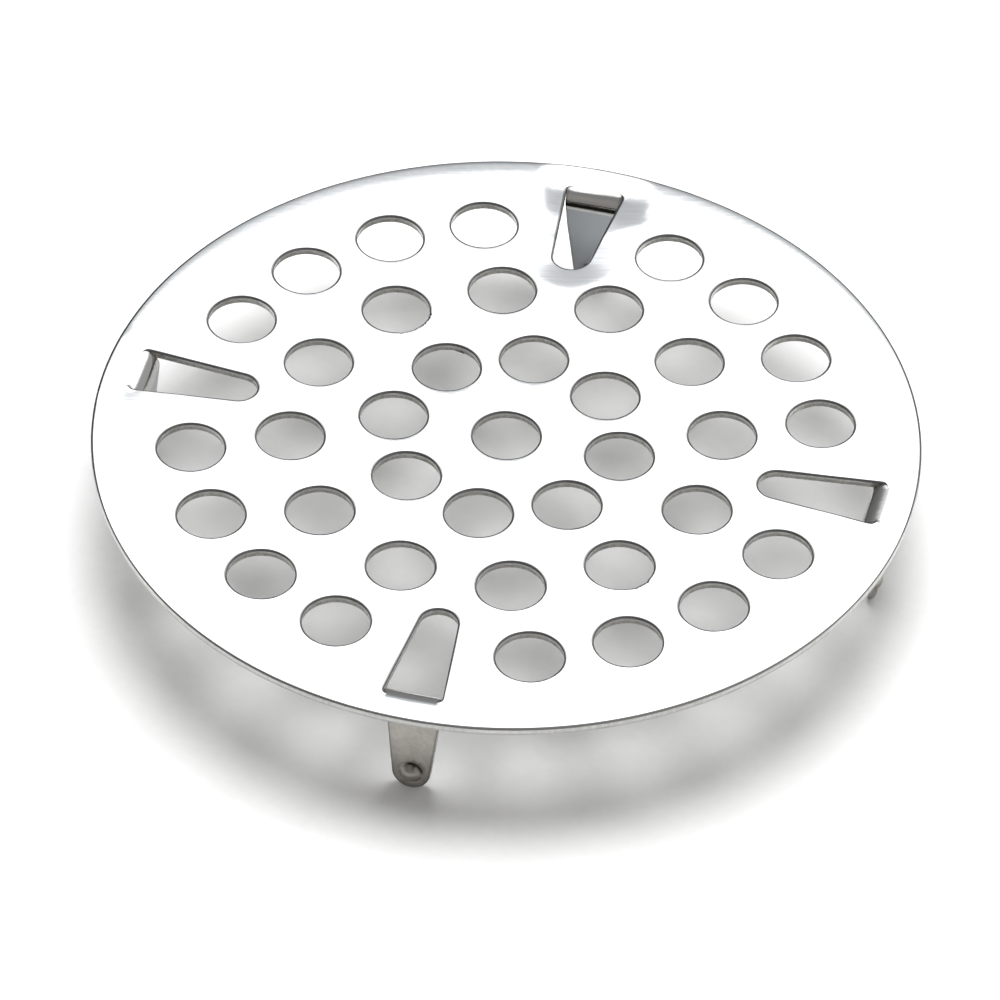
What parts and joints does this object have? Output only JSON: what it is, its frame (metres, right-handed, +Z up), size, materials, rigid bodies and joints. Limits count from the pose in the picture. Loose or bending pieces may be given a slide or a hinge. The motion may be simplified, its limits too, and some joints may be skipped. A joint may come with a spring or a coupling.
{
  "type": "floor drain grate",
  "caption": "Flat round perforated stainless sheet grate with bent-down spring legs that snap into the throat of a floor drain.",
  "frame": {"origin": "centre of the disc's underside, the face that seats in the drain", "axes": "+Z up, out of the floor, along the disc's axis; +X through one leg and +Y through the next"},
  "size_m": [0.0794, 0.0794, 0.0119],
  "materials": {
    "polished_sheet": "bright polished stainless, finely brushed, sheared edges duller",
    "bent_sheet": "the same sheet, stretched and slightly roughened on the outside of the bend",
    "mill_finish_sheet": "satin mill finish on the outer face, warm grey and faintly mottled"
  },
  "bodies": {
    "plate": {"strainer_plate": "polished_sheet", "root_bend_right": "bent_sheet", "root_bend_rear": "bent_sheet", "root_bend_left": "bent_sheet", "root_bend_front": "bent_sheet"},
    "leg_right": {"spring_leg_right": "mill_finish_sheet"},
    "leg_rear": {"spring_leg_rear": "mill_finish_sheet"},
    "leg_left": {"spring_leg_left": "mill_finish_sheet"},
    "leg_front": {"spring_leg_front": "mill_finish_sheet"}
  },
  "joints": [
    {"name": "leg_right_flex", "type": "hinge", "parent": "plate", "child": "leg_right", "pos_m": [0.03677, 0, -0.0009], "axis": [0, 1, 0], "range_deg": [-2, 6], "stiffness_Nm_per_rad": 0.005, "deforming": ["root_bend_right"]},
    {"name": "leg_rear_flex", "type": "hinge", "parent": "plate", "child": "leg_rear", "pos_m": [0, 0.03677, -0.0009], "axis": [-1, 0, 0], "range_deg": [-2, 6], "stiffness_Nm_per_rad": 0.005, "deforming": ["root_bend_rear"]},
    {"name": "leg_left_flex", "type": "hinge", "parent": "plate", "child": "leg_left", "pos_m": [-0.03677, 0, -0.0009], "axis": [0, -1, 0], "range_deg": [-2, 6], "stiffness_Nm_per_rad": 0.005, "deforming": ["root_bend_left"]},
    {"name": "leg_front_flex", "type": "hinge", "parent": "plate", "child": "leg_front", "pos_m": [0, -0.03677, -0.0009], "axis": [1, 0, 0], "range_deg": [-2, 6], "stiffness_Nm_per_rad": 0.005, "deforming": ["root_bend_front"]}
  ]
}
